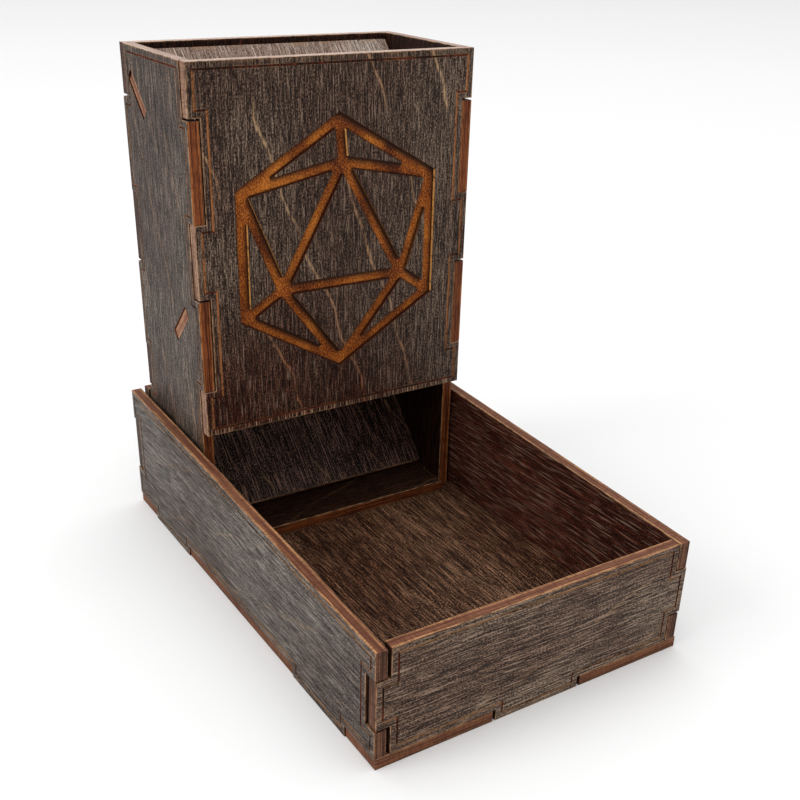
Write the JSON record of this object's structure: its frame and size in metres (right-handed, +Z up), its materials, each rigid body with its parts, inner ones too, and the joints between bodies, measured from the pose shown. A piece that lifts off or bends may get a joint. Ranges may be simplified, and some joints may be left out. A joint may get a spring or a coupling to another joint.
{
  "type": "dice tower",
  "caption": "Laser-cut plywood dice tower with inclined baffles and an exit ramp, standing in an open finger-jointed tray.",
  "frame": {"origin": "middle of the tray's underside, on the surface it stands on", "axes": "+Z up, front (the open end of the tray) towards -Y, +X to the right seen from the front"},
  "size_m": [0.1084, 0.17, 0.162],
  "materials": {
    "tray_plywood": "satin dark walnut stain",
    "tray_floor_plywood": "satin dark walnut stain",
    "tower_plywood": "satin dark walnut stain",
    "ramp_plywood": "satin dark walnut stain"
  },
  "bodies": {
    "tray": {"tray_base": "tray_floor_plywood", "tray_front_wall": "tray_plywood", "tray_back_wall": "tray_plywood", "tray_right_wall": "tray_plywood", "tray_left_wall": "tray_plywood"},
    "tower": {"tower_front_panel": "tower_plywood", "tower_back_panel": "tower_plywood", "tower_right_wall": "tower_plywood", "tower_left_wall": "tower_plywood", "tower_floor": "ramp_plywood", "upper_baffle": "ramp_plywood", "middle_baffle": "ramp_plywood", "exit_ramp": "ramp_plywood"}
  },
  "joints": [
    {"name": "tower_lift", "type": "slide", "parent": "tray", "child": "tower", "axis": [0, 0, 1], "range_m": [0, 0.06]}
  ]
}
